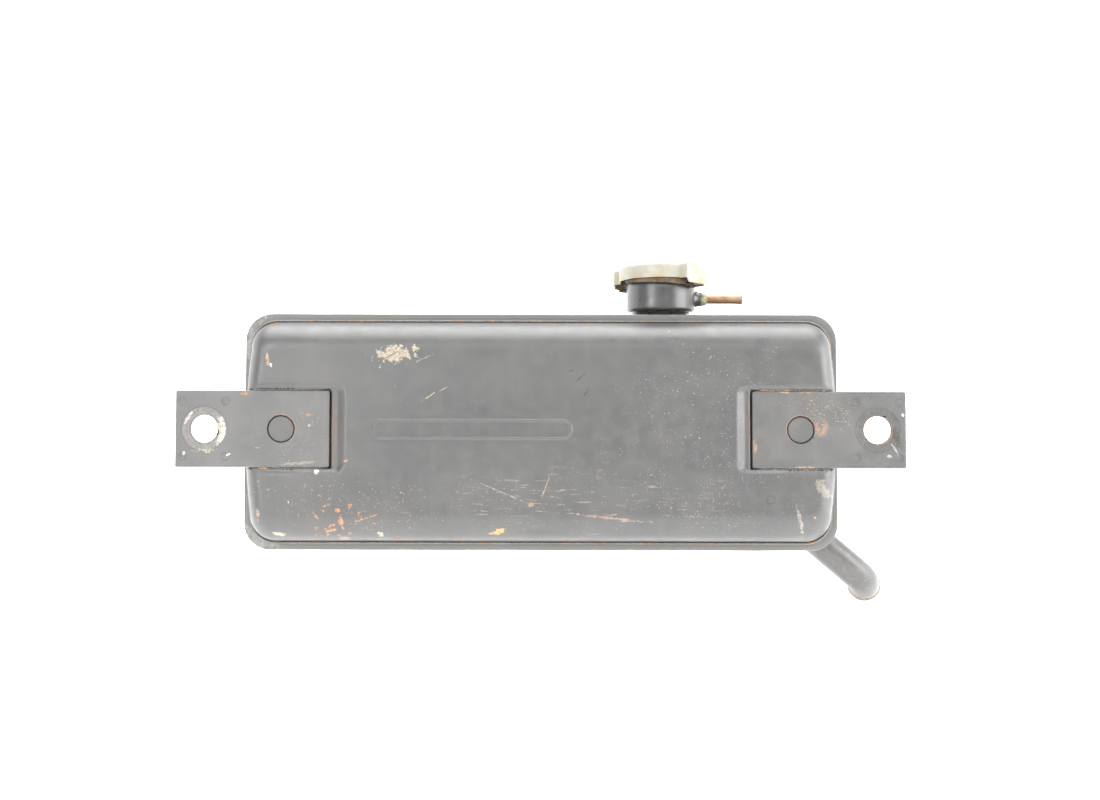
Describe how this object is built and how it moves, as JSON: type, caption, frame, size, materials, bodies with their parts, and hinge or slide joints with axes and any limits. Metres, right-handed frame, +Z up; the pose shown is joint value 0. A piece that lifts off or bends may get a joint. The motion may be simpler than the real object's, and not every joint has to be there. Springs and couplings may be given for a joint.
{
  "type": "coolant expansion tank",
  "caption": "Flat pressed-steel engine coolant expansion tank with side lug plates, bayonet filler neck with pressure cap, overflow pipe and bent bottom outlet pipe.",
  "frame": {"origin": "midway between the two lug bolt holes, on the rear face of the lug plates", "axes": "+X along the tank's length towards the outlet end (the right-hand end seen from the lug side), +Y from the lug plates rearwards through the tank's depth, +Z up towards the filler cap"},
  "size_m": [0.475, 0.0842, 0.2309],
  "materials": {
    "painted_steel": "worn satin dark grey enamel over pressed steel, chipped and rust-specked",
    "weld_rust": "thin grey paint over rough weld metal with brown rust",
    "cam_steel": "bare steel with brown surface rust",
    "copper_tube": "dull copper tube, brown and orange tarnish",
    "solder": "dull soft solder with flux stains",
    "cap_zinc": "ivory passivated zinc plate with yellow stains, rust on the tabs",
    "spring_steel": "plain spring steel",
    "valve_brass": "dull brass",
    "seal_rubber": "matt black rubber"
  },
  "bodies": {
    "tank": {"front_shell": "painted_steel", "rear_shell": "painted_steel", "seam_weld": "weld_rust", "lug_plate_left": "painted_steel", "lug_weld_left_upper": "weld_rust", "lug_weld_left_lower": "weld_rust", "lug_plate_right": "painted_steel", "lug_weld_right_upper": "weld_rust", "lug_weld_right_lower": "weld_rust", "neck_throat": "painted_steel", "neck_braze": "painted_steel", "neck_barrel": "painted_steel", "cam_flange": "cam_steel", "overflow_boss": "painted_steel", "overflow_pipe": "copper_tube", "overflow_collar": "solder", "outlet_pipe": "painted_steel", "outlet_weld": "painted_steel"},
    "cap_core": {"cap_rivet": "cap_zinc", "cap_spring_disc": "spring_steel", "cap_top_gasket": "seal_rubber", "spring_cage": "valve_brass", "pressure_spring": "spring_steel"},
    "cap_lid": {"cap_shell": "cap_zinc"},
    "pressure_valve": {"pressure_valve_plate": "valve_brass", "pressure_seal": "seal_rubber", "vacuum_spring": "spring_steel"},
    "vacuum_valve": {"vacuum_valve": "valve_brass", "vacuum_clip": "valve_brass"}
  },
  "joints": [
    {"name": "cap_draw", "type": "slide", "parent": "tank", "child": "cap_core", "axis": [0, 0, 1], "range_m": [-0.00157, 0.00087]},
    {"name": "cap_twist", "type": "hinge", "parent": "cap_core", "child": "cap_lid", "pos_m": [0.082, 0.0435, 0.11], "axis": [0, 0, 1], "range_deg": [-75, 42]},
    {"name": "pressure_lift", "type": "slide", "parent": "cap_core", "child": "pressure_valve", "axis": [0, 0, 1], "range_m": [0, 0.003], "stiffness_N_per_m": 12000, "springref_m": -0.006, "deforming": ["pressure_spring"]},
    {"name": "vacuum_drop", "type": "slide", "parent": "pressure_valve", "child": "vacuum_valve", "axis": [0, 0, 1], "range_m": [-0.0015, 0], "stiffness_N_per_m": 150, "springref_m": 0.002, "deforming": ["vacuum_spring"]}
  ],
  "couplings": [
    {"joint": "cap_twist", "follows": "cap_draw", "rad_per_m": 833.33}
  ]
}
